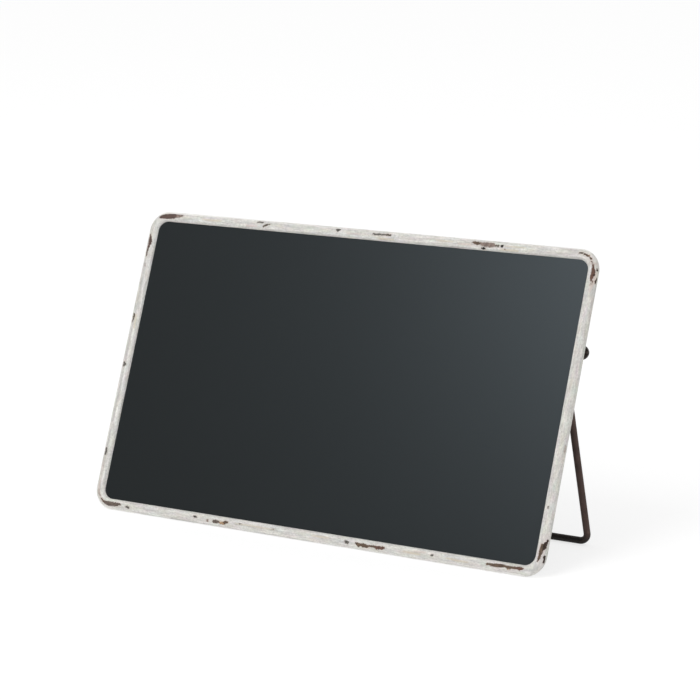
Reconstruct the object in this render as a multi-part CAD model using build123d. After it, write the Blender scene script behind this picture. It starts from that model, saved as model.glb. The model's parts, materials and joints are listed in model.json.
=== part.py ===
from build123d import *
from math import asin, cos, degrees, pi, radians, sin
import os

# Tabletop chalkboard: a framed writing sheet that leans back on a folding wire stand.
# Millimetres. +Z is up, the writing sheet faces -Y and leans towards +Y, and the origin is on
# the table, under the middle of the whole object with its stand open.

# Board
board_width = 254.0
board_height = 156.0
lean_deg = 22.0
bead_diameter = 5.3
bead_wall = 0.5
bead_corner_radius = 10.5
panel_ahead_of_bead_axis = 0.65
panel_thickness = 0.6
core_thickness = 1.2
back_thickness = 0.5

# Wire stand
wire_diameter = 3.4
open_deg = 32.0
pivot_height = 108.15
pivot_behind_bead_axis = 6.6
leg_to_ear = 5.25
leg_spread = 7.2
wire_bend_radius = 4.1
thread_diameter = 3.0
thread_length = 4.0

# Hinge lugs
ear_inset = 7.6
lug_thickness = 1.2
lug_inside_radius = 0.4
lug_base_width = 13.0
lug_base_height = 24.0
lug_corner_radius = 2.5
ear_radius = 4.2
stop_distance = 9.5
stop_width = 5.0
stop_past_leg = 2.4
stop_corner_radius = 1.0
stop_gap = 0.15

# Rivets, washers and nuts
rivet_diameter = 2.4
rivet_head_diameter = 4.4
rivet_head_height = 0.9
rivet_tail_diameter = 3.6
rivet_tail_height = 0.6
rivet_spacing = 16.0
rivet_inset = 6.6
inner_washer_diameter = 7.0
outer_washer_diameter = 8.2
washer_thickness = 0.5
nut_across_flats = 7.2
nut_hex_length = 2.6
nut_dome_diameter = 7.0
nut_collar = 0.2
nut_chamfer = 0.4
nut_bore_end_gap = 0.3

# Clearances
pivot_clearance = 0.05
washer_side_gap = 0.1
rivet_pocket_gap = 0.2
folded_gap = 0.3

bead_radius = bead_diameter / 2
wire_radius = wire_diameter / 2
stack_thickness = panel_thickness + core_thickness + back_thickness
sheet_width = board_width - bead_diameter
sheet_height = board_height - bead_diameter
sheet_corner_radius = bead_corner_radius - bead_radius
back_face = panel_ahead_of_bead_axis - stack_thickness

pivot_up = pivot_height - bead_radius
ear_outer_x = board_width / 2 - ear_inset
ear_inner_x = ear_outer_x - lug_thickness
leg_x_at_pivot = ear_inner_x - leg_to_ear
leg_x_at_foot = leg_x_at_pivot + leg_spread
inner_washer_x = ear_inner_x - washer_side_gap - washer_thickness
outer_washer_x = ear_outer_x + washer_side_gap
nut_x = outer_washer_x + washer_thickness
bore_radius = wire_radius + pivot_clearance

# The board's own axes: X across, Y up the slope from the middle of the bead's lower run, and Z
# out of the writing sheet. The stand's: X across, Y down its legs from the pivot.
lean = radians(lean_deg)
leg_tilt = radians(open_deg - lean_deg)
pivot_y = pivot_up * sin(lean) + pivot_behind_bead_axis * cos(lean)
pivot_z = bead_radius + pivot_up * cos(lean) - pivot_behind_bead_axis * sin(lean)
leg_reach = (pivot_z - wire_radius) / cos(leg_tilt)
foot_y = pivot_y + leg_reach * sin(leg_tilt)
top_y = sheet_height * sin(lean) + bead_radius
middle_y = (max(foot_y + wire_radius, top_y) - bead_radius) / 2

board_plane = Plane((0, -middle_y, bead_radius), x_dir=(1, 0, 0), z_dir=(0, -cos(lean), sin(lean)))
stand_plane = Plane(
    (0, pivot_y - middle_y, pivot_z), x_dir=(1, 0, 0), z_dir=(0, cos(leg_tilt), sin(leg_tilt))
)


def sheet_outline():
    """The rounded rectangle along the middle of the bead, in the board's axes."""
    return Pos(0, sheet_height / 2) * RectangleRounded(sheet_width, sheet_height, sheet_corner_radius)


def sheet(front, thickness):
    """A flat sheet that fills the bead's slot, with its front face at the given level."""
    return extrude(Pos(0, 0, front - thickness) * sheet_outline(), thickness)


def rim_frame():
    """The rolled bead: a tube bent round the board, slotted on its inner side for the sheets."""
    path = sheet_outline().wire()
    section = Circle(bead_radius) - Circle(bead_radius - bead_wall)
    tube = sweep(Plane(path @ 0, z_dir=path % 0) * section, path=path)
    return tube - sheet(panel_ahead_of_bead_axis, stack_thickness)


def writing_panel():
    return sheet(panel_ahead_of_bead_axis, panel_thickness)


def rivet_places():
    """The middles of the right lug's two rivets, in the board's axes."""
    x = ear_outer_x - rivet_inset
    return [Pos(x, pivot_up + side * rivet_spacing / 2) for side in (-1, 1)]


def both_sides(shape):
    """A right-hand shape and its mirror image at the left."""
    return [shape, mirror(shape, about=Plane.YZ)]


def core_board():
    """The hardboard core, with a pocket behind each rivet's tail."""
    core = sheet(panel_ahead_of_bead_axis - panel_thickness, core_thickness)
    depth = rivet_tail_height + rivet_pocket_gap
    radius = rivet_tail_diameter / 2 + rivet_pocket_gap
    level = back_face + back_thickness + depth / 2
    for place in rivet_places():
        for pocket in both_sides(place * Pos(0, 0, level) * Cylinder(radius, depth)):
            core -= pocket
    return core


def back_plate():
    """The steel back, with the rivet holes."""
    plate = sheet(back_face + back_thickness, back_thickness)
    for place in rivet_places():
        hole = place * Pos(0, 0, back_face) * Cylinder(rivet_diameter / 2, 4 * back_thickness)
        for cut in both_sides(hole):
            plate -= cut
    return plate


def lug_base():
    """The lug's flat foot on the back plate, short of the bend, with its rivet holes."""
    width = lug_base_width - lug_thickness - lug_inside_radius
    middle = ear_outer_x - lug_base_width + width / 2
    outline = Pos(middle, pivot_up) * Rectangle(width, lug_base_height)
    outline = fillet(outline.vertices(), lug_corner_radius)
    base = extrude(Pos(0, 0, back_face - lug_thickness) * outline, lug_thickness)
    for place in rivet_places():
        base -= place * Pos(0, 0, back_face) * Cylinder(rivet_diameter / 2, 4 * lug_thickness)
    return base


def round_corner(face, corner, radius):
    """The face with the corner nearest to the given place rounded."""
    return fillet(face.vertices().sort_by_distance(corner)[0], radius)


def lug_bend():
    """The strip that leaves the base, turns through the bend and rises to the pivot."""
    start_x = ear_inner_x - 2 * lug_inside_radius
    foot = back_face - lug_thickness
    corners = [
        (start_x, back_face),
        (ear_outer_x, back_face),
        (ear_outer_x, -pivot_behind_bead_axis),
        (ear_inner_x, -pivot_behind_bead_axis),
        (ear_inner_x, foot),
        (start_x, foot),
    ]
    profile = make_face(Polyline(corners, close=True))
    profile = round_corner(profile, (ear_outer_x, back_face), lug_inside_radius + lug_thickness)
    profile = round_corner(profile, (ear_inner_x, foot), lug_inside_radius)
    side = Plane((0, pivot_up + ear_radius, 0), x_dir=(1, 0, 0), z_dir=(0, -1, 0))
    return extrude(side * profile, 2 * ear_radius)


def tab_section():
    """The stop tab's section in the ear's plane: X up the board and Y out of the sheet."""
    leg_frame = Pos(pivot_up, -pivot_behind_bead_axis) * Rot(0, 0, 180 + open_deg)
    past_leg = wire_radius + stop_gap + lug_thickness / 2
    return leg_frame * Pos(stop_distance, past_leg) * Rectangle(stop_width, lug_thickness)


def stop_tab():
    """The tab that the open leg rests against, bent inward from the end of the ear's arm."""
    leg_x = leg_x_at_pivot + leg_spread * stop_distance / leg_reach
    inner_x = leg_x - stop_past_leg
    tab = extrude(Plane.YZ.offset(inner_x) * tab_section(), ear_outer_x - inner_x)
    free_end = tab.faces().sort_by(Axis.X)[0]
    return fillet(free_end.edges().sort_by(SortBy.LENGTH)[:2], stop_corner_radius)


def hinge_ear():
    """The ear above the bend: a round end at the pivot and an arm to the stop."""
    round_end = Pos(pivot_up, -pivot_behind_bead_axis) * Circle(ear_radius)
    outline = make_hull(round_end.edges() + tab_section().edges())
    return extrude(Plane.YZ.offset(ear_inner_x) * outline, lug_thickness)


def hinge_lug():
    """The right lug, bent from one strip of steel."""
    lug = lug_base() + lug_bend() + hinge_ear() + stop_tab()
    bore = Pos(ear_inner_x, pivot_up, -pivot_behind_bead_axis) * Rot(0, 90, 0) * Cylinder(
        bore_radius, 4 * lug_thickness
    )
    return lug - bore


def lug_rivets():
    """The right lug's two rivets: a domed head, a shank and a tail set into the core."""
    sphere_radius = (rivet_head_diameter**2 / 4 + rivet_head_height**2) / (2 * rivet_head_height)
    head_level = back_face - lug_thickness
    tail_level = back_face + back_thickness
    shank_length = tail_level - head_level
    dome = Pos(0, 0, head_level + sphere_radius - rivet_head_height) * Sphere(sphere_radius)
    head = split(dome, bisect_by=Plane.XY.offset(head_level), keep=Keep.BOTTOM)
    shank = Pos(0, 0, head_level + shank_length / 2) * Cylinder(rivet_diameter / 2, shank_length)
    tail = Pos(0, 0, tail_level + rivet_tail_height / 2) * Cylinder(rivet_tail_diameter / 2, rivet_tail_height)
    rivet = head + shank + tail
    return [place * rivet for place in rivet_places()]


def stand_wire():
    """The bent wire: pins out through both lugs, legs that splay downward, and the foot bar."""
    points = [
        (nut_x, 0),
        (leg_x_at_pivot, 0),
        (leg_x_at_foot, leg_reach),
        (-leg_x_at_foot, leg_reach),
        (-leg_x_at_pivot, 0),
        (-nut_x, 0),
    ]
    path = FilletPolyline(points, radius=wire_bend_radius)
    wire = sweep(Plane(path @ 0, z_dir=path % 0) * Circle(wire_radius), path=path)
    for end in (-1, 1):
        thread = Pos(end * (nut_x + thread_length / 2)) * Rot(0, 90, 0) * Cylinder(
            thread_diameter / 2, thread_length
        )
        wire += thread
    return wire


def washer(inner_x, diameter):
    """A flat washer on the right pin, with its inner face at the given place."""
    ring = Circle(diameter / 2) - Circle(bore_radius)
    return extrude(Pos(inner_x) * (Plane.YZ * ring), washer_thickness)


def dome_nut():
    """The right pin's cap nut: a hexagon, a short collar and a round dome over a blind bore."""
    hexagon = Plane.YZ * RegularPolygon(nut_across_flats / 2, 6, major_radius=False)
    body = extrude(Pos(nut_x) * hexagon, nut_hex_length)
    corner_radius = nut_across_flats / (2 * cos(pi / 6))
    barrel = Cylinder(corner_radius, nut_hex_length)
    barrel = chamfer(barrel.edges().filter_by(GeomType.CIRCLE), nut_chamfer / 2, nut_chamfer)
    body &= Pos(nut_x + nut_hex_length / 2) * Rot(0, 90, 0) * barrel
    dome_radius = nut_dome_diameter / 2
    dome_x = nut_x + nut_hex_length + nut_collar
    collar = Pos(dome_x - nut_collar) * Rot(0, 90, 0) * Cylinder(dome_radius, 2 * nut_collar)
    ball = Pos(dome_x) * Sphere(dome_radius)
    dome = split(ball, bisect_by=Plane.YZ.offset(dome_x), keep=Keep.TOP)
    depth = thread_length + nut_bore_end_gap
    bore = Pos(nut_x + depth / 2) * Rot(0, 90, 0) * Cylinder(thread_diameter / 2, depth)
    return body + collar + dome - bore


def write(node, plane, shapes):
    """Place one node's shapes from their own axes and write its file."""
    placed = [plane * shape for shape in shapes]
    export_step(placed[0] if len(placed) == 1 else Compound(children=placed), f"parts/{node}.step")


def write_pair(name, plane, shapes):
    """Write a right-hand node and its mirror image at the left."""
    write(f"right_{name}", plane, shapes)
    write(f"left_{name}", plane, [mirror(shape, about=Plane.YZ) for shape in shapes])


os.makedirs("parts", exist_ok=True)
write("rim_frame", board_plane, [rim_frame()])
write("writing_panel", board_plane, [writing_panel()])
write("core_board", board_plane, [core_board()])
write("back_plate", board_plane, [back_plate()])
write_pair("hinge_lug", board_plane, [hinge_lug()])
write_pair("lug_rivets", board_plane, lug_rivets())
write("stand_wire", stand_plane, [stand_wire()])
write_pair("inner_washer", stand_plane, [washer(inner_washer_x, inner_washer_diameter)])
write_pair("outer_washer", stand_plane, [washer(outer_washer_x, outer_washer_diameter)])
write_pair("dome_nut", stand_plane, [dome_nut()])

closing_turn = open_deg + degrees(
    asin((pivot_behind_bead_axis + back_face - wire_radius - folded_gap) / leg_reach)
)
print("pivot", round(pivot_y - middle_y, 3), round(pivot_z, 3))
print("leg reach", round(leg_reach, 3), "foot y", round(foot_y - middle_y, 3), "middle", round(middle_y, 3))
print("closing turn", round(closing_turn, 2))
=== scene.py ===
"""A small tabletop chalkboard: a black writing sheet in a rolled bead of chipped white paint, held up
by a bent wire stand that swings on two riveted lugs."""

import json
import logging
from dataclasses import dataclass
from enum import Enum
from math import atan2, cos, pi, radians, sin, tan

import bpy
import numpy as np
from mathutils import Euler, Matrix, Vector


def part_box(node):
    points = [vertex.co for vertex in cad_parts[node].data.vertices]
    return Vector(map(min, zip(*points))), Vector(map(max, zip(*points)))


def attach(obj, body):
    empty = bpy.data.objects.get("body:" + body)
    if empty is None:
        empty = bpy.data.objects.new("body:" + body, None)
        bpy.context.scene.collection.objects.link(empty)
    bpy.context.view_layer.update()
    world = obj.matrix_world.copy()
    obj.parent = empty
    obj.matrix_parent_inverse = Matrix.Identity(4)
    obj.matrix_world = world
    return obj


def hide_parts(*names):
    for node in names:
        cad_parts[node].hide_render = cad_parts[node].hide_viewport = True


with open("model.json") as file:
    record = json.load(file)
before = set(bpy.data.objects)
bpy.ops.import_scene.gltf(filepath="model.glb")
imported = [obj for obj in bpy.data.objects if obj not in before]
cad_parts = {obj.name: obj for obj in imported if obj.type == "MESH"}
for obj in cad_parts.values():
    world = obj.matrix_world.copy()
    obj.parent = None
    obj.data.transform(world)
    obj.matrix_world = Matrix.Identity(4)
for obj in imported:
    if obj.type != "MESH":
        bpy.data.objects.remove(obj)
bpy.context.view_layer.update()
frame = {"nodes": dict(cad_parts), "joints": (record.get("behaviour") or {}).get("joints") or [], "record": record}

log = logging.getLogger("chalkboard")

MM = 0.001

# Where most of a noise lies
MIDDLE = (0.3, 0.7)

Triple = tuple[float, float, float]
Colour = Triple
Feed = object
Mesh = bpy.types.Mesh
Piece = bpy.types.Object
Socket = bpy.types.NodeSocket


def linear(red: int, green: int, blue: int) -> Colour:
    """Turn a screen colour, 0 to 255 a channel, into the linear one that a shader takes."""
    shares = [channel / 255 for channel in (red, green, blue)]
    return tuple(s / 12.92 if s <= 0.04045 else ((s + 0.055) / 1.055) ** 2.4 for s in shares)


class NodeBench:
    """Builds one node tree, each node fed by values or by other nodes' sockets."""

    def __init__(self, tree: bpy.types.NodeTree) -> None:
        """Take a node tree and empty it."""
        self.tree = tree
        tree.nodes.clear()

    def add(self, kind: str, feeds: dict[str | int, Feed] | None = None, **settings: Feed) -> bpy.types.Node:
        """Add a node.

        Args:
            kind: The node's type name.
            feeds: What goes into its inputs, by name or number: a value or a socket.
            **settings: The node's own settings.

        Returns:
            The new node.
        """
        node = self.tree.nodes.new(kind)
        node.location = (180 * len(self.tree.nodes), 0)
        for name, value in settings.items():
            setattr(node, name, value)
        for name, value in (feeds or {}).items():
            if isinstance(value, Socket):
                self.tree.links.new(value, node.inputs[name])
            else:
                node.inputs[name].default_value = value
        return node

    def place(self, stretch: Triple = (1, 1, 1), turn_x: float = 0.0) -> Socket:
        """Give the point on the piece, turned about X and then stretched.

        Args:
            stretch: How many pattern lengths go into a metre along each axis.
            turn_x: Turn about X in radians, before the stretch.

        Returns:
            The point's socket.
        """
        spot = self.add("ShaderNodeTexCoord").outputs["Object"]
        turned = self.add("ShaderNodeMapping", {"Vector": spot, "Rotation": (turn_x, 0, 0)})
        scaled = self.add("ShaderNodeMapping", {"Vector": turned.outputs[0], "Scale": stretch})
        return scaled.outputs[0]

    def noise(self, at: Socket, scale: float = 1.0, detail: float = 3.0,
              roughness: float = 0.5) -> Socket:
        """Give a noise about 0.5, with so many cells a unit and octaves, at a point."""
        feeds = {"Vector": at, "Scale": scale, "Detail": detail, "Roughness": roughness}
        return self.add("ShaderNodeTexNoise", feeds).outputs[0]

    def sums(self, how: str, first: Feed, second: Feed = 0.0) -> Socket:
        """Do one sum, such as ADD, MULTIPLY or MAXIMUM, on two numbers."""
        return self.add("ShaderNodeMath", {0: first, 1: second}, operation=how).outputs[0]

    def span(self, value: Socket, source: tuple[float, float],
             target: tuple[float, float] = (0, 1), ease: str = "SMOOTHSTEP") -> Socket:
        """Carry a number from one range to another.

        Args:
            value: The number.
            source: The range it is read in.
            target: The range it is written in.
            ease: SMOOTHSTEP, or LINEAR.

        Returns:
            The carried number's socket.
        """
        feeds = {"Value": value, "From Min": source[0], "From Max": source[1]}
        feeds |= {"To Min": target[0], "To Max": target[1]}
        return self.add("ShaderNodeMapRange", feeds, interpolation_type=ease).outputs[0]

    def blend(self, share: Feed, first: Feed, second: Feed, how: str = "MIX") -> Socket:
        """Mix two colours.

        Args:
            share: How much of the second, 0 to 1.
            first: A linear colour or a socket.
            second: A linear colour or a socket.
            how: The blend type.

        Returns:
            The mixed colour's socket.
        """
        pair = [(*c, 1.0) if isinstance(c, tuple) else c for c in (first, second)]
        feeds = {0: share, 6: pair[0], 7: pair[1]}
        return self.add("ShaderNodeMix", feeds, data_type="RGBA", blend_type=how).outputs[2]

    def pick(self, share: Feed, first: Feed, second: Feed) -> Socket:
        """Mix two numbers by a share from 0 to 1."""
        return self.add("ShaderNodeMix", {0: share, 2: first, 3: second}, data_type="FLOAT").outputs[0]

    def shade(self, colour: Feed, value: Socket) -> Socket:
        """Multiply a colour by a number."""
        grey = self.add("ShaderNodeCombineColor", {0: value, 1: value, 2: value}).outputs[0]
        return self.blend(1.0, colour, grey, "MULTIPLY")

    def read(self, name: str) -> bpy.types.Node:
        """Read one of the piece's own attributes."""
        return self.add("ShaderNodeAttribute", attribute_type="GEOMETRY", attribute_name=name)

    def finish(self, colour: Feed, roughness: Feed, height: Socket, depth: float,
               **others: Feed) -> None:
        """End a material in a principled shader with a bumped skin.

        Args:
            colour: The base colour.
            roughness: The roughness.
            height: The skin's height.
            depth: What a height of 1 stands for, in metres.
            **others: Other inputs, with _ for a space in their names.
        """
        bump = self.add("ShaderNodeBump", {"Height": height, "Distance": depth}).outputs[0]
        feeds = {"Base Color": colour, "Roughness": roughness, "Normal": bump}
        feeds |= {name.replace("_", " "): value for name, value in others.items()}
        shader = self.add("ShaderNodeBsdfPrincipled", feeds)
        self.add("ShaderNodeOutputMaterial", {"Surface": shader.outputs[0]})


class Finish:
    """A finish that can be put on pieces: a subclass names it and lays its coats."""

    name: str

    def lay(self, bench: NodeBench) -> None:
        """Build the finish's nodes on a bench."""
        raise NotImplementedError

    def material(self) -> bpy.types.Material:
        """Make the finish's material.

        Returns:
            The new material.
        """
        made = bpy.data.materials.new(self.name)
        made.use_nodes = True
        self.lay(NodeBench(made.node_tree))
        return made

    def put_on(self, *pieces: Piece) -> None:
        """Give the finish to pieces, in place of what they have.

        Args:
            *pieces: Objects with a mesh.
        """
        made = self.material()
        for piece in pieces:
            if not piece.material_slots:
                piece.data.materials.append(made)
            for slot in piece.material_slots:
                slot.material = made
            log.info("%s has %s", piece.name, self.name)


@dataclass(frozen=True)
class WornPaint(Finish):
    """Brushed-on warm white paint, darkest on its crest, with painted light and shade round the bead, streaked and
    stained, and chipped to the steel.
    """

    name = "worn_white_paint"
    lean: float
    # Painted light and shade: the paint is blended between these two tones by its angle round the bead
    dim_paint: Colour = (0.540, 0.523, 0.488)
    painted_light: Colour = (0.800, 0.788, 0.755)
    grey: Colour = (0.30, 0.29, 0.275)
    pink_edge: Colour = (0.46, 0.36, 0.315)
    ragged: float = 0.50
    spread: float = 0.10
    paint_depth: float = 0.12 * MM

    def brushed(self, bench: NodeBench, along: float, across: float, detail: float = 3.0,
                roughness: float = 0.5, output: int = 0) -> Socket:
        """Give a noise that is drawn out along the bead on all four of its runs.

        Args:
            bench: The material's bench.
            along: Cells in a metre along the bead.
            across: Cells in a metre across it.
            detail: Octaves.
            roughness: How strong the fine octaves are.
            output: 0 for a number, 1 for a colour.

        Returns:
            The noise's socket.
        """
        turn = self.lean - pi / 2
        upright = bench.read("upright").outputs["Fac"]
        pair = [
            bench.noise(bench.place(stretch, turn), 1.0, detail, roughness).node.outputs[output]
            for stretch in ((along, across, across), (across, along, across))
        ]
        return bench.blend(upright, *pair) if output else bench.pick(upright, *pair)

    def painted(self, bench: NodeBench) -> Socket:
        """Build the paint's colour away from its chips, with its painted light and shade and its painted
        highlights.

        Args:
            bench: The material's bench.

        Returns:
            The colour's socket.
        """
        # Painted light and shade: the tone follows the bead's angle, lighter where light falls and darker in shade
        colour = bench.blend(bench.read("painted_light").outputs["Fac"], self.dim_paint, self.painted_light)
        tints = self.brushed(bench, 150, 480, 2, output=1)
        colour = bench.blend(0.24, colour, tints, "SOFT_LIGHT")
        strokes = bench.span(self.brushed(bench, 120, 900, 4, 0.62), MIDDLE, (0.80, 1.19), "LINEAR")
        colour = bench.shade(colour, strokes)
        grain = bench.span(self.brushed(bench, 900, 1300, 3, 0.6), MIDDLE, (0.83, 1.15), "LINEAR")
        colour = bench.shade(colour, grain)
        scratches = bench.span(self.brushed(bench, 260, 2300, 3, 0.6), (0.56, 0.72), (0, 0.50))
        colour = bench.blend(scratches, colour, self.grey)
        specks = bench.span(self.brushed(bench, 800, 1500, 4, 0.62), (0.61, 0.72), (0, 0.60))
        colour = bench.blend(specks, colour, self.grey)
        # Stains, and painted highlights laid the same way
        stain = bench.read("stain").outputs
        return bench.blend(stain["Alpha"], colour, stain["Color"])

    def lay(self, bench: NodeBench) -> None:
        """Build the paint, its chips and the steel under them.

        Args:
            bench: The material's bench.
        """
        teeth = self.brushed(bench, 1700, 1100, 5, 0.66)
        reach = (self.spread - self.ragged, self.spread + self.ragged)
        wear = bench.read("wear").outputs["Fac"]
        depth = bench.sums("ADD", wear, bench.span(teeth, (0.25, 0.75), reach, "LINEAR"))
        bare = bench.span(depth, (-0.03, 0.05))
        beside = bench.span(depth, (-0.75, 0.0), (0, 0.34))
        painted = bench.blend(beside, self.painted(bench), self.pink_edge)
        rust = bench.span(self.brushed(bench, 1700, 700, 4, 0.65), (0.32, 0.68), (0.45, 1.60), "LINEAR")
        steel = bench.shade(bench.read("bare_tone").outputs["Color"], rust)
        streaks = self.brushed(bench, 95, 1300, 4)
        roughness = bench.pick(bare, bench.span(streaks, MIDDLE, (0.42, 0.60)), 0.85)
        skin = bench.sums("SUBTRACT", 1.0, bare)
        skin = bench.sums("ADD", skin, bench.sums("MULTIPLY", streaks, 0.25))
        bench.finish(bench.blend(bare, painted, steel), roughness, skin, self.paint_depth)


@dataclass(frozen=True)
class ChalkCoat(Finish):
    """The writing sheet's smooth, slightly cool black coat."""

    name = "chalk_coat"
    black: Colour = (0.0156, 0.0174, 0.0178)
    rubbed: Colour = (0.0168, 0.0188, 0.0192)
    roughness: float = 0.29

    def lay(self, bench: NodeBench) -> None:
        """Build the coat with its fine grain and the faint clouds that wiping leaves.

        Args:
            bench: The material's bench.
        """
        spot = bench.place()
        clouds = bench.noise(bench.place((7, 11, 11)), 1.0, 1)
        grain = bench.noise(spot, 2600, 2)
        colour = bench.blend(bench.span(clouds, (0.2, 0.8), ease="LINEAR"), self.black, self.rubbed)
        rough = bench.span(grain, MIDDLE, (self.roughness - 0.01, self.roughness + 0.01), "LINEAR")
        bench.finish(colour, rough, grain, 0.002 * MM, Specular_Tint=(0.75, 0.90, 1.0, 1.0))


@dataclass(frozen=True)
class Fibreboard(Finish):
    """The brown pressed board between the two sheets."""

    name = "pressed_fibreboard"
    fibre: Colour = (0.24, 0.135, 0.070)
    dark: Colour = (0.12, 0.065, 0.035)

    def lay(self, bench: NodeBench) -> None:
        """Build the matted fibres.

        Args:
            bench: The material's bench.
        """
        fibres = bench.noise(bench.place((900, 300, 2500)), 1.0, 5, 0.7)
        colour = bench.blend(bench.span(fibres, (0.35, 0.65)), self.dark, self.fibre)
        bench.finish(colour, 0.85, fibres, 0.08 * MM)


@dataclass(frozen=True)
class BackPaint(Finish):
    """Thin black paint on the steel back, scuffed and dusty."""

    name = "black_back_paint"
    lean: float
    black: Colour = (0.020, 0.020, 0.021)
    dusty: Colour = (0.055, 0.053, 0.050)
    scuff: Colour = (0.13, 0.12, 0.11)

    def lay(self, bench: NodeBench) -> None:
        """Build the paint, its dust and its scuffs.

        Args:
            bench: The material's bench.
        """
        turn = self.lean - pi / 2
        spot = bench.place()
        cloud = bench.noise(spot, 28, 5, 0.6)
        peel = bench.noise(spot, 1100, 2)
        scuffs = bench.noise(bench.place((22, 900, 900), turn), 1.0, 3, 0.6)
        lanes = bench.noise(bench.place((14, 30, 30), turn), 1.0, 2)
        thin = bench.sums("MULTIPLY", bench.span(scuffs, (0.64, 0.74)), bench.span(lanes, (0.5, 0.62)))
        colour = bench.blend(bench.span(cloud, (0.38, 0.72)), self.black, self.dusty)
        colour = bench.blend(thin, colour, self.scuff)
        roughness = bench.span(cloud, MIDDLE, (0.38, 0.62))
        bench.finish(colour, roughness, peel, 0.012 * MM)


@dataclass(frozen=True)
class LugPaint(Finish):
    """Dark brown paint on the hinge lugs, rubbed in places to dull metal."""

    name = "dark_lug_paint"
    brown: Colour = (0.030, 0.023, 0.019)
    worn: Colour = (0.15, 0.115, 0.090)

    def lay(self, bench: NodeBench) -> None:
        """Build the paint and its rubbed spots.

        Args:
            bench: The material's bench.
        """
        spot = bench.place()
        rubbed = bench.span(bench.noise(spot, 420, 5, 0.65), (0.60, 0.68))
        peel = bench.noise(spot, 1600, 2)
        shade = bench.span(bench.noise(spot, 160, 3), (0.35, 0.7), (0.7, 1.4), "LINEAR")
        colour = bench.blend(rubbed, self.brown, self.worn)
        colour = bench.shade(colour, shade)
        height = bench.sums("SUBTRACT", peel, rubbed)
        roughness = bench.pick(rubbed, 0.45, 0.62)
        bench.finish(colour, roughness, height, 0.02 * MM)


@dataclass(frozen=True)
class Steel(Finish):
    """Bare or blackened steel with fine tooling marks and darker, browner stains."""

    name: str
    metal: Colour
    stain: Colour
    stained: float = 0.5
    roughness: float = 0.38
    metallic: float = 1.0
    gloss: float = 0.5

    def lay(self, bench: NodeBench) -> None:
        """Build the metal, its stains and its marks.

        Args:
            bench: The material's bench.
        """
        spot = bench.place()
        stains = bench.noise(spot, 700, 5, 0.62)
        edge = 0.70 - 0.3 * self.stained
        dirty = bench.span(stains, (edge - 0.08, edge + 0.08))
        marks = bench.noise(bench.place((5200, 900, 900)), 1.0, 3, 0.6)
        colour = bench.blend(dirty, self.metal, self.stain)
        grip = bench.span(marks, MIDDLE, (self.roughness - 0.06, self.roughness + 0.1))
        roughness = bench.pick(dirty, grip, self.roughness + 0.3)
        metallic = bench.pick(dirty, self.metallic, self.metallic * 0.4)
        bench.finish(colour, roughness, marks, 0.006 * MM, Metallic=metallic,
                     Specular_IOR_Level=self.gloss)


@dataclass(frozen=True)
class BlackenedWire(Finish):
    """Oil-blackened wire, browned on the legs and blacker along the foot."""

    name = "blackened_wire"
    legs: Colour = (0.060, 0.036, 0.030)
    foot: Colour = (0.0105, 0.0082, 0.0066)
    rubbed: Colour = (0.105, 0.067, 0.056)

    def lay(self, bench: NodeBench) -> None:
        """Build the wire's colour, darker along the foot than on the legs, its mottling and the rubbed high spots.

        Args:
            bench: The material's bench.
        """
        foot = bench.read("foot").outputs["Fac"]
        spot = bench.place()
        mottle = bench.noise(spot, 420, 5, 0.6)
        drawn = bench.noise(bench.place((160, 160, 160)), 1.0, 3)
        # The colour goes from the legs' brown to near black along the foot bar
        colour = bench.blend(foot, self.legs, self.foot)
        brown = bench.sums("MULTIPLY", bench.span(mottle, (0.52, 0.72)), bench.pick(foot, 0.75, 0.2))
        colour = bench.blend(brown, colour, self.rubbed)
        shade = bench.span(drawn, MIDDLE, (0.75, 1.25), "LINEAR")
        colour = bench.shade(colour, shade)
        roughness = bench.span(mottle, MIDDLE, (0.55, 0.72))
        bench.finish(colour, roughness, mottle, 0.03 * MM, Specular_IOR_Level=0.25)


class Tone(Enum):
    """What a chip in the paint lays bare, or what a stain or a painted highlight leaves on it, as a linear colour.
    """

    DARK_BROWN = linear(48, 33, 25)
    RED_BROWN = linear(92, 66, 55)
    DUSKY_RED = linear(86, 68, 62)
    BROWN = linear(92, 75, 61)
    TAUPE = linear(94, 82, 74)
    OLIVE = linear(90, 82, 70)
    GREY = linear(88, 85, 80)
    BLACK = linear(34, 29, 26)
    PALE = linear(128, 112, 104)
    FAINT = linear(168, 158, 150)
    ORANGE = linear(168, 136, 104)
    OCHRE_TINT = linear(201, 186, 160)
    PINK_TINT = linear(196, 178, 170)
    GREY_TINT = linear(172, 172, 170)
    # A painted highlight: white laid on the bead's outer slopes
    WHITE_TINT = linear(243, 242, 238)


# A mark is a stroke of knots, under the tone that it shows. A knot is the distance in millimetres
# along the bead from the middle of its lower run, to the right and on round the board, then the
# angle in degrees round the bead from its front, outward positive, then the stroke's half width in
# millimetres.
Stroke = tuple[Triple, ...]
Marks = dict[Tone, tuple[Stroke, ...]]

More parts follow.
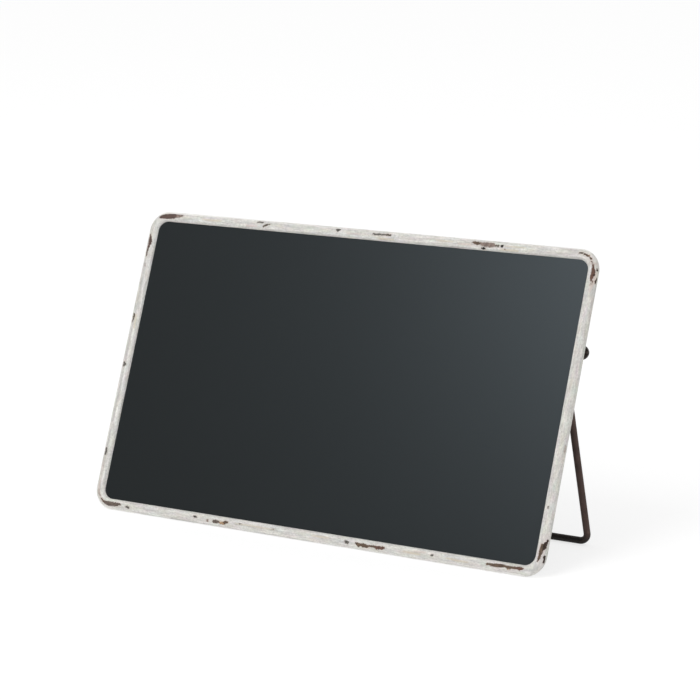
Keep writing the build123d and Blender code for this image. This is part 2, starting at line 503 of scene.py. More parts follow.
FRONT_CHIPS: Marks = {
    Tone.DARK_BROWN: (
        ((131.6, 26, 0.5), (133.0, 34, 0.95), (134.4, 42, 0.85), (135.2, 54, 0.35), (136.2, 61, 0.48)),
        ((127.0, 66, 0.5), (128.6, 58, 0.5)),
        ((258.6, 66, 0.34), (259.8, 70, 0.38), (260.6, 74, 0.3)),
        ((261.8, 32, 0.4), (263.4, 34, 0.4), (265.0, 24, 0.25)),
        ((264.4, 62, 0.36), (264.8, 56, 0.28)),
    ),
    Tone.RED_BROWN: (
        ((39.0, 5, 0.4), (40.1, 11, 0.85), (41.5, 7, 0.7), (43.6, 4, 0.55)),
        ((115.0, 4, 0.18), (116.2, 1, 0.2)),
        ((113.6, -11, 0.5), (115.4, -11, 0.7), (116.8, -14, 0.5), (118.0, -15, 0.18)),
        ((259.6, 12, 0.45), (261.0, 15, 0.75), (262.6, 22, 0.95), (264.0, 22, 0.8), (265.2, 15, 0.5),
         (266.4, 18, 0.25)),
        ((258.4, 31, 0.18), (259.0, 27, 0.18)),
        ((268.1, 16, 0.14), (268.3, 12, 0.12)),
        ((315.0, -31, 0.14), (315.2, -32, 0.12)),
    ),
    Tone.DUSKY_RED: (
        ((504.6, 6, 0.9), (506.0, 2, 1.2), (508.0, -3, 1.25), (510.0, -7, 1.22), (512.0, -2, 1.0),
         (513.3, 4, 0.7), (513.9, 10, 0.22)),
        ((524.0, 13, 0.14), (525.5, 7, 0.5), (527.0, 0, 0.9), (528.6, -3, 0.9), (529.7, 4, 0.62),
         (531.2, 8, 0.42), (533.4, 13, 0.3), (535.6, 11, 0.16)),
    ),
    Tone.BROWN: (
        ((28.5, 0, 0.3), (29.3, 6, 0.7), (30.0, 14, 0.9), (31.1, 6, 0.5), (32.4, 10, 0.95),
         (34.6, 16, 0.75), (35.4, 8, 0.4), (38.8, 5, 0.42)),
        ((99.0, -6, 0.55), (100.1, -8, 0.42), (101.0, -2, 0.5), (102.3, -6, 0.62), (103.5, -9, 0.72),
         (105.0, -8, 0.78), (106.6, -12, 0.74), (108.3, -12, 0.48), (110.0, -5, 0.66), (111.8, -10, 0.5),
         (113.4, -11, 0.55)),
        ((126.1, 0, 0.2), (127.3, 3, 0.42), (129.0, 6, 0.55), (130.6, 8, 0.8), (132.2, 14, 0.95),
         (134.0, 10, 0.4)),
        ((269.4, 20, 0.34), (270.3, 17, 0.22)),
        ((271.0, 18, 0.3), (271.8, 12, 0.44), (272.6, 10, 0.36), (273.4, 6, 0.36)),
        ((327.4, 8, 0.45), (328.8, 9, 0.6), (330.2, 8, 0.72), (331.6, 14, 0.55), (332.6, 13, 0.15)),
        ((663.2, 3, 0.2), (664.6, 4, 0.3), (665.8, 3, 0.4)),
        ((738.3, 14, 0.6), (739.4, 5, 0.62), (740.5, -3, 0.32)),
    ),
    Tone.TAUPE: (
        ((666.2, 2, 0.5), (667.6, 1, 0.85), (669.2, 5, 1.05), (671.0, 3, 0.98), (673.2, 1, 0.85),
         (674.8, -3, 0.6), (675.9, -3, 0.22)),
        ((732.5, 13, 0.68), (734.0, 11, 0.8), (735.3, 8, 0.4)),
    ),
    Tone.OLIVE: (
        ((274.2, 12, 0.3), (275.0, 5, 0.36), (276.3, 3, 0.14)),
        ((318.5, -2, 0.4), (319.6, -2, 0.38)),
        ((377.9, 10, 0.46), (380.0, 10, 0.44), (380.8, 8, 0.22)),
        ((447.5, 8, 0.16), (448.9, 2, 0.32), (450.0, -12, 0.4), (451.2, -24, 0.22)),
        ((500.0, 22, 0.16), (502.4, 21, 0.2), (504.6, 19, 0.25)),
        ((566.4, 12, 0.34), (567.6, 8, 0.52), (568.9, 9, 0.34)),
    ),
    Tone.GREY: (
        ((22.8, 3, 0.55), (23.8, 7, 0.7)),
        ((69.3, -2, 0.25), (70.1, -3, 0.32)),
        ((151.2, 0, 0.22), (151.6, -1, 0.22)),
        ((381.4, 8, 0.3), (383.0, 7, 0.3), (385.2, 5, 0.34), (386.5, 2, 0.46), (387.3, 8, 0.36)),
        ((406.5, 20, 0.28), (407.4, 12, 0.66), (408.6, 22, 0.28)),
        ((451.6, 25, 0.18), (453.0, 24, 0.3), (454.7, 22, 0.18)),
        ((569.6, 18, 0.25), (570.1, 15, 0.28)),
        ((592.0, 8, 0.54), (592.8, 4, 0.86), (593.4, 10, 0.52)),
        ((637.0, 9, 0.42), (638.2, 5, 0.54), (639.8, 12, 0.46)),
        ((679.3, 10, 0.28), (680.3, 9, 0.44), (681.3, 14, 0.28)),
        ((747.4, -7, 0.16), (748.3, -9, 0.16)),
        ((766.9, -9, 0.2), (767.4, -6, 0.14)),
    ),
    Tone.BLACK: (
        ((316.4, 2, 0.5), (316.7, 0, 0.5)),
        ((325.6, -41, 0.4), (326.4, -45, 0.6), (327.1, -42, 0.4)),
        ((720.4, -11, 0.18), (721.1, -6, 0.42), (722.0, -2, 0.32)),
    ),
    Tone.PALE: (
        ((320.4, 2, 0.5), (321.6, 4, 0.95), (322.9, 1, 1.08), (324.0, 7, 0.78), (325.0, 1, 0.98),
         (326.8, 3, 0.85), (328.2, 10, 0.55)),
        ((500.2, 12, 0.36), (502.0, 9, 0.6), (503.6, 6, 0.75)),
        ((728.6, 11, 0.4), (728.9, 14, 0.4)),
    ),
    Tone.FAINT: (
        ((178.0, 70, 0.2), (180.5, 68, 0.3)),
        ((257.2, 16, 0.3), (258.8, 28, 0.25)),
        ((266.5, 26, 0.18), (267.2, 12, 0.24)),
        ((540.0, 0, 0.16), (540.8, -3, 0.16)),
        ((658.4, 0, 0.18), (659.9, 2, 0.3), (661.6, -2, 0.16)),
    ),
    Tone.ORANGE: (
        ((109.8, 15, 0.05), (110.4, 12, 0.08)),
        ((270.9, 26, 0.14), (271.6, 20, 0.16)),
        ((736.3, 19, 0.28), (737.3, 17, 0.44), (738.2, 24, 0.4)),
    ),
}

BACK_CHIPS: Marks = {
    Tone.DARK_BROWN: (
        ((146.0, 150, 0.3), (150.0, 160, 0.75), (155.0, 158, 0.4)),
        ((421.0, 192, 0.4), (424.0, 186, 0.8), (428.0, 188, 0.35)),
        ((664.0, 150, 0.5), (668.0, 160, 0.9), (672.0, 170, 0.45)),
    ),
    Tone.RED_BROWN: (
        ((14.0, 168, 0.3), (17.5, 176, 0.8), (21.0, 184, 0.45)),
        ((236.0, 188, 0.3), (240.0, 182, 0.85), (244.0, 176, 0.6), (247.0, 178, 0.25)),
        ((515.0, 132, 0.5), (519.0, 148, 1.0), (523.0, 160, 0.5)),
    ),
    Tone.BROWN: (
        ((61.0, 128, 0.35), (64.0, 134, 0.6), (66.5, 131, 0.3)),
        ((196.0, 118, 0.3), (198.5, 124, 0.5)),
        ((270.0, 140, 0.45), (274.0, 150, 0.95), (279.0, 158, 0.55)),
        ((362.0, 132, 0.25), (366.0, 140, 0.6), (371.0, 138, 0.35)),
        ((556.0, 178, 0.25), (560.0, 170, 0.7), (563.0, 172, 0.3)),
        ((640.0, 196, 0.35), (643.0, 188, 0.7), (648.0, 184, 0.3)),
        ((752.0, 182, 0.3), (756.0, 176, 0.65), (758.0, 178, 0.25)),
    ),
    Tone.OLIVE: (
        ((478.0, 150, 0.3), (480.0, 146, 0.55)),
        ((704.0, 130, 0.3), (706.0, 134, 0.55), (709.0, 133, 0.25)),
    ),
    Tone.GREY: (
        ((88.0, 200, 0.4), (89.0, 204, 0.45)),
        ((336.0, 172, 0.35), (337.5, 170, 0.45)),
        ((604.0, 140, 0.4), (605.2, 144, 0.38)),
    ),
}

STAINS_AND_HIGHLIGHTS: Marks = {
    Tone.OCHRE_TINT: (
        ((4.0, -4, 0.3), (9.0, -6, 0.45), (13.5, -8, 0.25)),
        ((54.5, 4, 0.3), (58.0, 7, 0.5), (63.5, 10, 0.35)),
        ((77.5, 1, 0.3), (83.0, 9, 0.5), (89.0, 12, 0.25)),
        ((304.0, 6, 0.2), (309.0, 5, 0.28), (315.0, 2, 0.22)),
        ((308.0, -36, 0.5), (317.0, -38, 0.55)),
        ((343.0, 0, 0.22), (347.5, -1, 0.34), (352.0, 1, 0.26)),
        ((376.0, -36, 0.45), (384.0, -38, 0.5)),
        ((476.5, -4, 0.24), (481.5, -6, 0.42), (487.5, -4, 0.26)),
        ((566.5, -18, 0.35), (573.5, -22, 0.4)),
        ((734.5, 0, 0.35), (737.5, 8, 0.6), (741.5, 0, 0.25)),
        ((745.0, -2, 0.14), (752.0, -4, 0.24), (760.0, -3, 0.26), (768.0, -2, 0.16)),
    ),
    Tone.PINK_TINT: (
        ((60.0, -16, 0.3), (66.0, -20, 0.4)),
        ((129.5, -12, 0.45), (134.0, -6, 0.6)),
        ((254.0, 20, 0.5), (258.5, 42, 0.8), (263.0, 52, 0.6)),
        ((266.6, 62, 0.35), (267.4, 8, 0.4), (267.8, -30, 0.22)),
        ((333.5, -12, 0.3), (340.0, -16, 0.45)),
        ((395.0, -8, 0.3), (402.0, -14, 0.4)),
        ((455.0, -26, 0.45), (461.0, -30, 0.5)),
        ((654.0, 4, 0.35), (660.5, 2, 0.55), (665.0, 0, 0.4)),
    ),
    Tone.GREY_TINT: (
        ((15.5, 30, 0.22), (19.0, 26, 0.3)),
        ((120.5, 20, 0.35), (124.0, 38, 0.5)),
        ((178.0, 70, 0.5), (181.0, 66, 0.7)),
        ((276.8, 4, 0.16), (281.5, -9, 0.2), (286.7, -30, 0.18)),
        ((423.0, 6, 0.16), (431.0, 3, 0.24), (438.0, 4, 0.16)),
        ((541.0, -10, 0.2), (556.0, -6, 0.3), (565.0, -3, 0.2)),
        ((574.0, 2, 0.22), (583.0, 4, 0.32), (590.0, 6, 0.2)),
        ((597.0, -2, 0.2), (606.0, 3, 0.3), (615.0, 1, 0.34), (622.0, 4, 0.2)),
        ((627.0, 2, 0.22), (631.5, 3, 0.34), (635.0, 5, 0.2)),
        ((648.0, -40, 0.3), (655.0, -48, 0.45)),
        ((690.0, 0, 0.2), (694.5, 2, 0.36), (698.0, 0, 0.2)),
        ((707.0, 62, 0.6), (716.0, 74, 0.8), (722.0, 58, 0.5)),
    ),
    # Painted highlights: white strokes along the bead's outer slopes, where light catches them
    Tone.WHITE_TINT: (
        ((20.0, 78, 0.3), (34.0, 74, 0.5), (56.0, 78, 0.3)),
        ((99.0, 76, 0.4), (108.0, 68, 0.7), (117.0, 66, 0.7)),
        ((272.0, 66, 0.5), (284.0, 62, 0.7), (300.0, 68, 0.5)),
        ((432.0, 70, 0.4), (452.0, 64, 0.8), (478.0, 62, 1.0), (498.0, 56, 1.0), (511.0, 52, 0.9),
         (517.0, 56, 0.5)),
        ((644.0, 56, 0.4), (655.0, 52, 0.7), (665.0, 64, 0.8), (678.0, 78, 0.5)),
    ),
}


def each_mark(*tables: Marks) -> list[tuple[Tone, Stroke]]:
    """Return every stroke in some tables, with its tone."""
    return [(tone, stroke) for table in tables for tone, group in table.items() for stroke in group]


def enter(mode: str) -> None:
    """Enter a mode, EDIT or OBJECT."""
    bpy.ops.object.mode_set(mode=mode)


def start_afresh() -> None:
    """Leave edit mode and deselect everything."""
    if bpy.context.object and bpy.context.object.mode != "OBJECT":
        enter("OBJECT")
    bpy.ops.object.select_all(action="DESELECT")


def settle(piece: Piece, name: str, place: Matrix | None = None) -> None:
    """Name a piece and put its place into its mesh, its object back at the origin.

    Args:
        piece: The piece, selected and active.
        name: Its name.
        place: Where its own axes go, if they are not the shared ones.
    """
    piece.name = name
    piece.data.name = name
    if place:
        piece.matrix_world = place
    bpy.ops.object.transform_apply(location=True, rotation=True, scale=True)


def select_points(mesh: Mesh, wanted: np.ndarray) -> None:
    """Select some of a mesh's points in object mode, and nothing else.

    Args:
        mesh: The mesh.
        wanted: True for each point to select.
    """
    for others in (mesh.polygons, mesh.edges):
        others.foreach_set("select", np.zeros(len(others), bool))
    mesh.vertices.foreach_set("select", wanted)


def points_of(mesh: Mesh) -> np.ndarray:
    """Read where a mesh's points are.

    Args:
        mesh: The mesh, in object mode.

    Returns:
        A row of x, y and z for each point.
    """
    flat = np.empty(3 * len(mesh.vertices))
    mesh.vertices.foreach_get("co", flat)
    return flat.reshape(-1, 3)


@dataclass(frozen=True)
class BoardAxes:
    """The board's own axes: X across, Y up the slope from the bead's lower run, Z out of the face."""

    origin: Vector
    lean: float
    width: float
    height: float

    @classmethod
    def from_frame(cls, bead_radius: float, face_level: float) -> "BoardAxes":
        """Work the axes out from the record's writing face and the rim's box.

        Args:
            bead_radius: The bead's outer radius.
            face_level: How far the writing face is in front of the middle of the bead.

        Returns:
            The axes, with the width and height between the middles of the bead's runs.
        """
        face = next(m for m in frame["record"]["mounts"] if m["name"] == "writing_face")
        normal = Vector(face["axis"]).normalized()
        lean = atan2(normal.z, -normal.y)
        low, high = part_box("rim_frame")
        height = (high.z - low.z - 2 * bead_radius) / cos(lean)
        width = high.x - low.x - 2 * bead_radius
        up = Vector((0, sin(lean), cos(lean)))
        origin = Vector(face["pos_m"]) - face_level * normal - height / 2 * up
        return cls(origin, lean, width, height)

    def matrix(self) -> Matrix:
        """Return the matrix from these axes to the shared ones."""
        return Matrix.Translation(self.origin) @ Euler((pi / 2 - self.lean, 0, 0)).to_matrix().to_4x4()


@dataclass(frozen=True)
class PaintedRim:
    """The rolled bead round the board: a slotted tube with its worn coat of paint."""

    axes: BoardAxes
    bead_radius: float = 2.65 * MM
    wall: float = 0.5 * MM
    outer_corner_radius: float = 10.5 * MM
    face_level: float = 0.65 * MM
    slot_width: float = 2.3 * MM
    step: float = 0.46 * MM
    run_cuts: int = 15
    outer_sides: int = 50
    inner_sides: int = 14
    chip_depth: float = 0.07 * MM
    weld: float = 0.02 * MM
    crease: float = 50.0
    # In millimetres inside a mark's edge: beyond every mark, where its tone starts, where it starts
    # to sink and over how much it sinks, and half the soft edge of stains and of painted highlights
    unworn: float = -3.0
    tone_reach: float = -1.2
    sink_start: float = -0.15
    sink_run: float = 0.5
    tint_edge: float = 0.35
    # The most of the paint that a stain or a painted highlight covers
    tint_share: float = 0.6
    # Painted light and shade: how light the paint is painted at each bend round the bead: everywhere, then
    # what the level runs, the right run and the left run add to it
    bends: tuple[float, ...] = (-180, -110, -44, -30, -15, 0, 14, 28, 56, 90, 180)
    usual: tuple[float, ...] = (0.28, 0.46, 0.58, 0.46, 0.31, 0.2, 0.22, 0.31, 0.38, 0.31, 0.28)
    level: tuple[float, ...] = (0, 0, 0, 0, 0, 0, 0.02, 0.06, 0.28, 0.52, 0.05)
    right: tuple[float, ...] = (0, 0, 0, 0, 0, 0, 0, -0.04, -0.14, -0.14, 0)
    left: tuple[float, ...] = (0, 0, 0.09, 0.18, 0.09, -0.18, -0.15, -0.03, 0.08, 0.1, 0)

    @property
    def turn_radius(self) -> float:
        """Return the radius of the bead's middle line in a corner."""
        return self.outer_corner_radius - self.bead_radius

    @property
    def half_width(self) -> float:
        """Return half the length of the straight middle line along the top."""
        return self.axes.width / 2 - self.turn_radius

    @property
    def half_height(self) -> float:
        """Return half the length of the straight middle line up a side."""
        return self.axes.height / 2 - self.turn_radius

    def arc(self, radius: float, sides: int) -> None:
        """Add a ring to the mesh in edit mode and cut the slot's gap in it.

        Args:
            radius: The ring's radius.
            sides: How many sides the whole ring has.
        """
        bpy.ops.mesh.primitive_circle_add(vertices=sides, radius=radius, rotation=(0, pi / 2, 0))
        enter("OBJECT")
        mesh = bpy.context.object.data
        places = points_of(mesh)
        own = abs(np.hypot(places[:, 1], places[:, 2]) - radius) < 1e-6
        slot = (places[:, 2] > self.face_level - self.slot_width) & (places[:, 2] < self.face_level)
        select_points(mesh, own & slot & (places[:, 1] > 0))
        enter("EDIT")
        bpy.ops.mesh.delete(type="VERT")

    def section(self) -> Piece:
        """Draw the slotted tube's outline across the lower run, in the board's axes.

        Returns:
            The outline's object, in edit mode with all of it selected.
        """
        start_afresh()
        bpy.ops.mesh.primitive_circle_add(vertices=3, radius=self.wall)
        rim = bpy.context.object
        enter("EDIT")
        bpy.ops.mesh.delete(type="VERT")
        self.arc(self.bead_radius, self.outer_sides)
        self.arc(self.bead_radius - self.wall, self.inner_sides)
        enter("OBJECT")
        for level in (self.face_level, self.face_level - self.slot_width):
            self.close_lip(rim.data, level)
        enter("EDIT")
        bpy.ops.mesh.select_all(action="SELECT")
        return rim

    def close_lip(self, mesh: Mesh, level: float) -> None:
        """Bring the ends of both arcs to one side of the slot and join them.

        Args:
            mesh: The outline, in object mode.
            level: The slot side's level.
        """
        places = points_of(mesh)
        joined = np.array([tuple(edge.vertices) for edge in mesh.edges]).ravel()
        ends = np.bincount(joined, minlength=len(places)) == 1
        slot_middle = self.face_level - self.slot_width / 2
        mine = ends & ((places[:, 2] > slot_middle) == (level > slot_middle))
        for number in np.flatnonzero(mine):
            outer = np.hypot(*places[number, 1:]) > self.bead_radius - self.wall / 2
            radius = self.bead_radius if outer else self.bead_radius - self.wall
            mesh.vertices[number].co = (0, (radius**2 - level**2) ** 0.5, level)
        select_points(mesh, mine)
        enter("EDIT")
        bpy.ops.mesh.edge_face_add()
        enter("OBJECT")

    def run(self, across: float, up: float) -> None:
        """Extrude the outline along a straight run, by so much along X and Y."""
        bpy.ops.mesh.extrude_region_move(TRANSFORM_OT_translate={"value": (across, up, 0)})

    def corner(self, across: float, up: float) -> None:
        """Spin the outline a quarter turn round a corner's middle."""
        steps = round(self.turn_radius * pi / 2 / self.step)
        bpy.ops.mesh.spin(steps=steps, angle=-pi / 2, center=(across, up, 0), axis=(0, 0, 1))

    def slice_runs(self, mesh: Mesh) -> None:
        """Subdivide the long edges of the straight runs, twice over, into short steps.

        Args:
            mesh: The swept tube, in edit mode.
        """
        bpy.ops.mesh.select_mode(type="EDGE")
        for _ in range(2):
            enter("OBJECT")
            ends = np.empty(2 * len(mesh.edges), np.int32)
            mesh.edges.foreach_get("vertices", ends)
            places = points_of(mesh)[ends].reshape(-1, 2, 3)
            long = np.linalg.norm(places[:, 0] - places[:, 1], axis=1) > 4 * self.step
            select_points(mesh, np.zeros(len(mesh.vertices), bool))
            mesh.edges.foreach_set("select", long)
            enter("EDIT")
            bpy.ops.mesh.subdivide(number_cuts=self.run_cuts)
        bpy.ops.mesh.select_mode(type="VERT")

    def build(self) -> Piece:
        """Sweep the outline round the board, wear its paint and put it in place.

        Returns:
            The finished rim.
        """
        rim = self.section()
        wide, tall = self.half_width, self.half_height
        low, high = self.turn_radius, self.turn_radius + 2 * tall
        self.run(wide, 0)
        self.corner(wide, low)
        self.run(0, 2 * tall)
        self.corner(wide, high)
        self.run(-wide, 0)
        self.run(-wide, 0)
        self.corner(-wide, high)
        self.run(0, -2 * tall)
        self.corner(-wide, low)
        self.run(wide, 0)
        self.slice_runs(rim.data)
        bpy.ops.mesh.select_all(action="SELECT")
        bpy.ops.mesh.remove_doubles(threshold=self.weld)
        bpy.ops.mesh.normals_make_consistent(inside=False)
        enter("OBJECT")
        self.wear(rim.data)
        settle(rim, "painted_rim", self.axes.matrix())
        bpy.ops.object.shade_smooth_by_angle(angle=radians(self.crease))
        return rim

    def unroll(self, places: np.ndarray) -> tuple[np.ndarray, np.ndarray, np.ndarray]:
        """Find where points lie on the bead.

        Args:
            places: Rows of x, y and z in the board's axes.

        Returns:
            For each point the distance along the bead in millimetres, the angle round it in radians,
            and the bead's heading there in radians, 0 on the lower run and pi / 2 up the right one.
        """
        wide, tall, turn = self.half_width, self.half_height, self.turn_radius
        inner_x = np.clip(places[:, 0], -wide, wide)
        inner_y = np.clip(places[:, 1], turn, turn + 2 * tall)
        out_x = places[:, 0] - inner_x
        out_y = places[:, 1] - inner_y
        heading = np.arctan2(out_x, -out_y)
        side = np.round(heading / (pi / 2)).astype(int) % 4
        heading = np.where((side > 0) & (heading < 0), heading + 2 * pi, heading)
        along = turn * heading + np.choose(side, (
            inner_x,
            wide + inner_y - turn,
            2 * wide + 2 * tall - inner_x,
            3 * wide + 4 * tall + turn - inner_y,
        ))
        whole = 4 * (wide + tall) + 2 * pi * turn
        angle = np.arctan2(np.hypot(out_x, out_y) - turn, places[:, 2])
        return (along % whole) / MM, angle, heading

    def inside(self, stroke: Stroke, along: np.ndarray, around: np.ndarray) -> np.ndarray:
        """Find how far inside a mark points are.

        Args:
            stroke: The mark's knots.
            along: The points' distances along the bead in millimetres.
            around: Their distances round it in millimetres.

        Returns:
            Millimetres inside the mark's edge, negative outside.
        """
        whole = (4 * (self.half_width + self.half_height) + 2 * pi * self.turn_radius) / MM
        girth = 2 * pi * self.bead_radius / MM
        knots = [(s, radians(a) * self.bead_radius / MM, w) for s, a, w in stroke]
        deepest = np.full(len(along), self.unworn)
        for (s0, t0, w0), (s1, t1, w1) in zip(knots, knots[1:]):
            ds = (along - s0 + whole / 2) % whole - whole / 2
            dt = (around - t0 + girth / 2) % girth - girth / 2
            share = np.clip((ds * (s1 - s0) + dt * (t1 - t0)) / ((s1 - s0) ** 2 + (t1 - t0) ** 2), 0, 1)
            gap = np.hypot(ds - share * (s1 - s0), dt - share * (t1 - t0))
            deepest = np.maximum(deepest, w0 + share * (w1 - w0) - gap)
        return deepest

    def painted_light_by_angle(self, angle: np.ndarray, heading: np.ndarray) -> np.ndarray:
        """Give the painted light and shade by place on the bead: darkest on the crest, lighter on its slopes.

        Args:
            angle: The points' angles round the bead in radians.
            heading: The bead's heading at the points in radians.

        Returns:
            0 where the paint is painted darkest, to 1.
        """
        bend = np.degrees(angle)
        rows = (self.usual, self.level, self.right, self.left)
        usual, level, right, left = (np.interp(bend, self.bends, row) for row in rows)
        slope = np.sin(heading)
        sides = right * np.clip(slope, 0, 1) + left * np.clip(-slope, 0, 1)
        return np.clip(usual + level * (1 - abs(slope)) + sides, 0, 1)

    def wear(self, mesh: Mesh) -> None:
        """Store the paint's state at each point, and sink the chips into it.

        Args:
            mesh: The rim's mesh in the board's axes.
        """
        places = points_of(mesh)
        along, angle, heading = self.unroll(places)
        around = self.bead_radius / MM * angle
        depth = np.full(len(places), self.unworn)
        bare_tone = np.tile((*Tone.BROWN.value, 1.0), (len(places), 1))
        for tone, stroke in each_mark(FRONT_CHIPS, BACK_CHIPS):
            inside = self.inside(stroke, along, around)
            nearer = (inside > depth) & (inside > self.tone_reach)
            bare_tone[nearer] = (*tone.value, 1.0)
            depth = np.maximum(depth, inside)
        # Stains and painted highlights, blended over the paint
        stain = np.zeros((len(places), 4))
        for tone, stroke in each_mark(STAINS_AND_HIGHLIGHTS):
            inside = self.inside(stroke, along, around)
            share = self.tint_share * np.clip((inside + self.tint_edge) / (2 * self.tint_edge), 0, 1)
            stain[share > stain[:, 3], :3] = tone.value
            stain[:, 3] = np.maximum(stain[:, 3], share)
        # Painted light and shade by angle round the bead, stored for the shader
        painted_light = self.painted_light_by_angle(angle, heading)
        for name, value in (("wear", depth), ("upright", np.sin(heading) ** 2), ("painted_light", painted_light)):
            mesh.attributes.new(name, "FLOAT", "POINT").data.foreach_set("value", value)
        for name, colour in (("bare_tone", bare_tone), ("stain", stain)):
            mesh.attributes.new(name, "FLOAT_COLOR", "POINT").data.foreach_set("color", colour.ravel())
        outer = np.hypot(places[:, 2], self.bead_radius * np.sin(angle)) > self.bead_radius - self.wall / 2
        sink = np.clip((depth - self.sink_start) / self.sink_run, 0, 1) * self.chip_depth * outer
        normals = np.empty(3 * len(places))
        mesh.vertices.foreach_get("normal", normals)
        places = places - sink[:, None] * normals.reshape(-1, 3)
        mesh.vertices.foreach_set("co", places.ravel())

    def dress(self, rim: Piece) -> None:
        """Paint the rim and hang it on the board.

        Args:
            rim: The finished rim.
        """
        WornPaint(self.axes.lean).put_on(rim)
        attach(rim, "board")
        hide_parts("rim_frame")


@dataclass(frozen=True)
class WireStand:
    """The bent wire: threaded pins, legs that splay downward, and the foot bar."""

    leg_at_pivot: float = 112.95 * MM
    leg_at_foot: float = 120.15 * MM
    pin_end: float = 120.0 * MM
    bend_radius: float = 4.1 * MM
    thread_radius: float = 1.5 * MM
    sides: int = 32
    bend_steps: int = 14
    leg_steps: int = 40
    weld: float = 0.01 * MM
    crease: float = 40.0

    def axes(self) -> tuple[Matrix, float, float]:
        """Work out the stand's own axes: X across, Y down the legs, Z behind.

        Returns:
            The matrix to the shared axes, the legs' reach, and the wire's radius.
        """
        joint = frame["joints"][0]
        pivot = Vector(joint["pos_m"])
        low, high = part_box("stand_wire")
        radius = high.z - pivot.z
        foot = Vector((0, high.y - radius, low.z + radius))
        drop = foot - pivot
        turn = Euler((atan2(drop.y, -drop.z) - pi / 2, 0, 0)).to_matrix().to_4x4()
        return Matrix.Translation(pivot) @ turn, drop.length, radius

    def build(self) -> Piece:
        """Bend half of the wire from its pin to the middle of the foot, and mirror it.

        Returns:
            The finished wire.
        """
        place, reach, radius = self.axes()
        thread_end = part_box("stand_wire")[1].x
        splay = atan2(self.leg_at_foot - self.leg_at_pivot, reach)
        turn = pi / 2 + splay
        setback = self.bend_radius * tan(turn / 2)
        start_afresh()
        bpy.ops.mesh.primitive_circle_add(
            vertices=self.sides,
            radius=self.thread_radius,
            fill_type="NGON",
            location=(thread_end, 0, 0),
            rotation=(0, pi / 2, 0),
        )
        wire = bpy.context.object
        bpy.ops.object.transform_apply(location=True, rotation=True, scale=True)
        enter("EDIT")
        bpy.ops.mesh.select_all(action="SELECT")
        self.draw(self.pin_end - thread_end, 0, 1)
        bpy.ops.mesh.extrude_region_move()
        bpy.ops.transform.resize(
            value=(1, radius / self.thread_radius, radius / self.thread_radius),
            center_override=(self.pin_end, 0, 0),
        )
        first_bend = self.leg_at_pivot + setback
        self.draw(first_bend - self.pin_end, 0, 1)
        self.bend(first_bend, self.bend_radius, turn)
        leg = (reach**2 + (self.leg_at_foot - self.leg_at_pivot) ** 2) ** 0.5 - 2 * setback
        self.draw(leg * sin(splay), leg * cos(splay), self.leg_steps)
        self.bend(self.leg_at_foot - setback, reach - self.bend_radius, -turn)
        self.draw(setback - self.leg_at_foot, 0, self.leg_steps)
        bpy.ops.mesh.delete(type="ONLY_FACE")
        enter("OBJECT")
        bpy.ops.object.modifier_add(type="MIRROR")
        wire.modifiers[0].merge_threshold = self.weld
        bpy.ops.object.modifier_apply(modifier=wire.modifiers[0].name)
        enter("EDIT")
        bpy.ops.mesh.select_all(action="SELECT")
        bpy.ops.mesh.normals_make_consistent(inside=False)
        enter("OBJECT")
        down = points_of(wire.data)[:, 1]
        foot = np.clip((down - reach + 3 * radius) / (2.5 * radius), 0, 1)
        wire.data.attributes.new("foot", "FLOAT", "POINT").data.foreach_set("value", foot)
        settle(wire, "bent_wire", place)
        bpy.ops.object.shade_smooth_by_angle(angle=radians(self.crease))
        return wire

    def draw(self, across: float, down: float, steps: int) -> None:
        """Extrude the wire's end straight on.

        Args:
            across: How far along X.
            down: How far down the legs.
            steps: In how many steps.
        """
        for _ in range(steps):
            bpy.ops.mesh.extrude_region_move(
                TRANSFORM_OT_translate={"value": (across / steps, down / steps, 0)}
            )

    def bend(self, across: float, down: float, turn: float) -> None:
        """Spin the wire's end round a bend's middle, its turn positive from the pin into the leg."""
        middle = (across, down, 0)
        bpy.ops.mesh.spin(steps=self.bend_steps, angle=turn, center=middle, axis=(0, 0, 1))

    def dress(self, wire: Piece) -> None:
        """Blacken the wire and hang it on the stand.

        Args:
            wire: The finished wire.
        """
        BlackenedWire().put_on(wire)
        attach(wire, "stand")
        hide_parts("stand_wire")


@dataclass(frozen=True)
class SheetStack:
    """The three sheets in the bead's slot: writing sheet, fibreboard and steel back."""

    lean: float

    def dress(self) -> None:
        """Finish each of the sheets."""
        nodes = frame["nodes"]
        ChalkCoat().put_on(nodes["writing_panel"])
        Fibreboard().put_on(nodes["core_board"])
        BackPaint(self.lean).put_on(nodes["back_plate"])


@dataclass(frozen=True)
class HingeHardware:
    """What the stand swings on, the same on both sides."""

    sides: tuple[str, ...] = ("left", "right")

    def both(self, piece: str) -> list[Piece]:
        """Return the left and right node of a kind."""
        return [frame["nodes"][f"{side}_{piece}"] for side in self.sides]

    def dress(self) -> None:
        """Finish the lugs, rivets, washers and nuts."""
        LugPaint().put_on(*self.both("hinge_lug"))
        rivet = Steel("dulled_rivet_steel", (0.33, 0.31, 0.29), (0.09, 0.060, 0.042), 0.45)
        rivet.put_on(*self.both("lug_rivets"))
        washer = Steel("dark_washer_steel", (0.26, 0.24, 0.22), (0.06, 0.042, 0.032), 0.6, 0.42)
        washer.put_on(*self.both("inner_washer"), *self.both("outer_washer"))
        nut = Steel("black_nut_steel", (0.050, 0.038, 0.033), (0.0075, 0.0050, 0.0042), 0.66, 0.34,
                    gloss=0.15)
        nut.put_on(*self.both("dome_nut"))


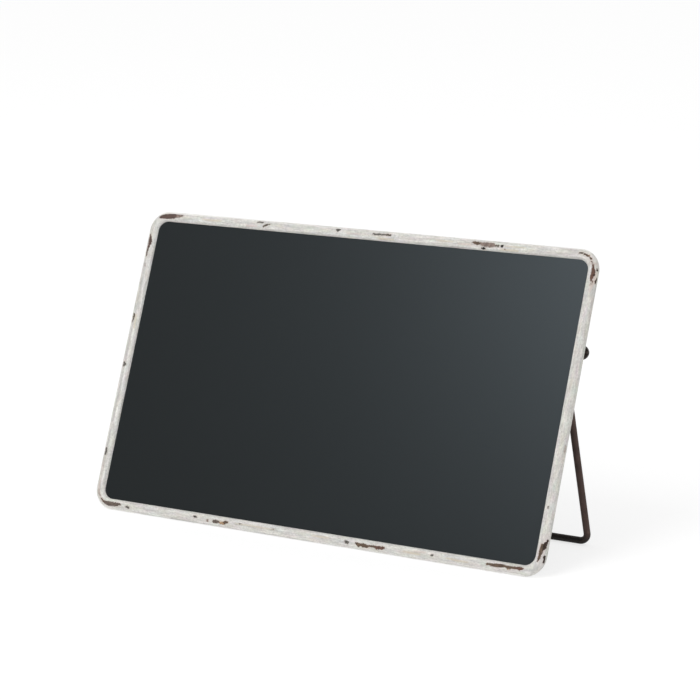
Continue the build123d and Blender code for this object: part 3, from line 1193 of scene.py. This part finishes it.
@dataclass(frozen=True)
class Studio:
    """The floor, the soft light and the camera."""

    ambient: float = 0.76
    floor_colour: Colour = (0.88, 0.88, 0.88)
    seen_floor_colour: Colour = (0.36, 0.36, 0.36)
    floor_glow: float = 0.12
    seen_floor_glow: float = 0.70
    floor_size: float = 40.0
    camera_place: Triple = (0.608432, -1.026049, 0.333391)
    camera_aim: Triple = (0.023862, -0.030925, 0.097001)
    lens_mm: float = 128.308
    lamp_azimuth: float = -15.4
    lamp_height: float = 44.7
    lamp_distance: float = 3.0
    lamp_width: float = 1.23
    lamp_length: float = 1.82
    lamp_watts: float = 33.0
    dark_side: Triple = (-0.62, -0.72, 0.30)
    dark_edges: tuple[float, float] = (0.55, 0.93)

    def lay_floor(self) -> None:
        """Lay a wide pale floor that shows white to the camera and keeps the shadow."""
        start_afresh()
        bpy.ops.mesh.primitive_plane_add(size=self.floor_size)
        floor = bpy.context.object
        floor.name = "floor"
        made = bpy.data.materials.new("floor")
        made.use_nodes = True
        bench = NodeBench(made.node_tree)
        rays = bench.add("ShaderNodeLightPath").outputs
        seen = bench.sums("MAXIMUM", rays["Is Camera Ray"], rays["Is Glossy Ray"])
        grain = bench.noise(bench.place(), 240, 2)
        shade = bench.span(grain, MIDDLE, (0.99, 1.0))
        colour = bench.blend(seen, self.floor_colour, self.seen_floor_colour)
        colour = bench.blend(shade, (0.0, 0.0, 0.0), colour)
        matt = bench.add("ShaderNodeBsdfDiffuse", {"Color": colour})
        glow = bench.pick(seen, self.floor_glow, self.seen_floor_glow)
        glow = bench.add("ShaderNodeEmission", {"Strength": glow})
        whole = bench.add("ShaderNodeAddShader", {0: matt.outputs[0], 1: glow.outputs[0]})
        bench.add("ShaderNodeOutputMaterial", {"Surface": whole.outputs[0]})
        floor.data.materials.append(made)

    def fill_world(self) -> None:
        """Make the world white to the eye and in metal, an even light, and dim on one front side."""
        world = bpy.data.worlds.new("studio")
        bpy.context.scene.world = world
        world.use_nodes = True
        bench = NodeBench(world.node_tree)
        rays = bench.add("ShaderNodeLightPath").outputs
        mirrored = bench.sums("MAXIMUM", rays["Is Glossy Ray"], rays["Is Transmission Ray"])
        way = bench.add("ShaderNodeTexCoord").outputs["Generated"]
        dark_side = tuple(Vector(self.dark_side).normalized())
        facing = bench.add("ShaderNodeVectorMath", {0: way, 1: dark_side}, operation="DOT_PRODUCT")
        room = bench.span(facing.outputs["Value"], self.dark_edges, (1.0, 0.0))
        lit = bench.pick(mirrored, self.ambient, room)
        strength = bench.pick(rays["Is Camera Ray"], lit, 1.0)
        sky = bench.add("ShaderNodeBackground", {"Color": (1, 1, 1, 1), "Strength": strength})
        bench.add("ShaderNodeOutputWorld", {"Surface": sky.outputs[0]})

    def hang_lamp(self) -> None:
        """Hang one large soft lamp above and in front."""
        azimuth, height = radians(self.lamp_azimuth), radians(self.lamp_height)
        aim = Vector(self.camera_aim)
        way = Vector((sin(azimuth) * cos(height), -cos(azimuth) * cos(height), sin(height)))
        start_afresh()
        bpy.ops.object.light_add(type="AREA", location=aim + self.lamp_distance * way)
        lamp = bpy.context.object
        lamp.name = "soft_lamp"
        lamp.rotation_euler = way.to_track_quat("Z", "Y").to_euler()
        lamp.data.shape = "RECTANGLE"
        lamp.data.size = self.lamp_width
        lamp.data.size_y = self.lamp_length
        lamp.data.energy = self.lamp_watts

    def set_camera(self) -> None:
        """Stand the camera where the picture was taken from."""
        start_afresh()
        bpy.ops.object.camera_add(location=self.camera_place)
        camera = bpy.context.object
        way = Vector(self.camera_aim) - Vector(self.camera_place)
        camera.rotation_euler = way.to_track_quat("-Z", "Y").to_euler()
        camera.data.sensor_width = 36
        camera.data.lens = self.lens_mm
        camera.data.clip_start = 0.02
        bpy.context.scene.camera = camera

    def build(self) -> None:
        """Set up the whole studio."""
        self.set_camera()
        self.lay_floor()
        self.fill_world()
        self.hang_lamp()
        bpy.context.scene.view_settings.view_transform = "Standard"


def main() -> None:
    """Build and dress the chalkboard, piece by piece."""
    logging.basicConfig(level=logging.INFO, format="%(name)s: %(message)s")
    Studio().build()
    axes = BoardAxes.from_frame(PaintedRim.bead_radius, PaintedRim.face_level)
    for part in (PaintedRim(axes), WireStand()):
        piece = part.build()
        part.dress(piece)
        log.info("%s: %d faces", piece.name, len(piece.data.polygons))
    SheetStack(axes.lean).dress()
    HingeHardware().dress()


if __name__ == "__main__":
    main()
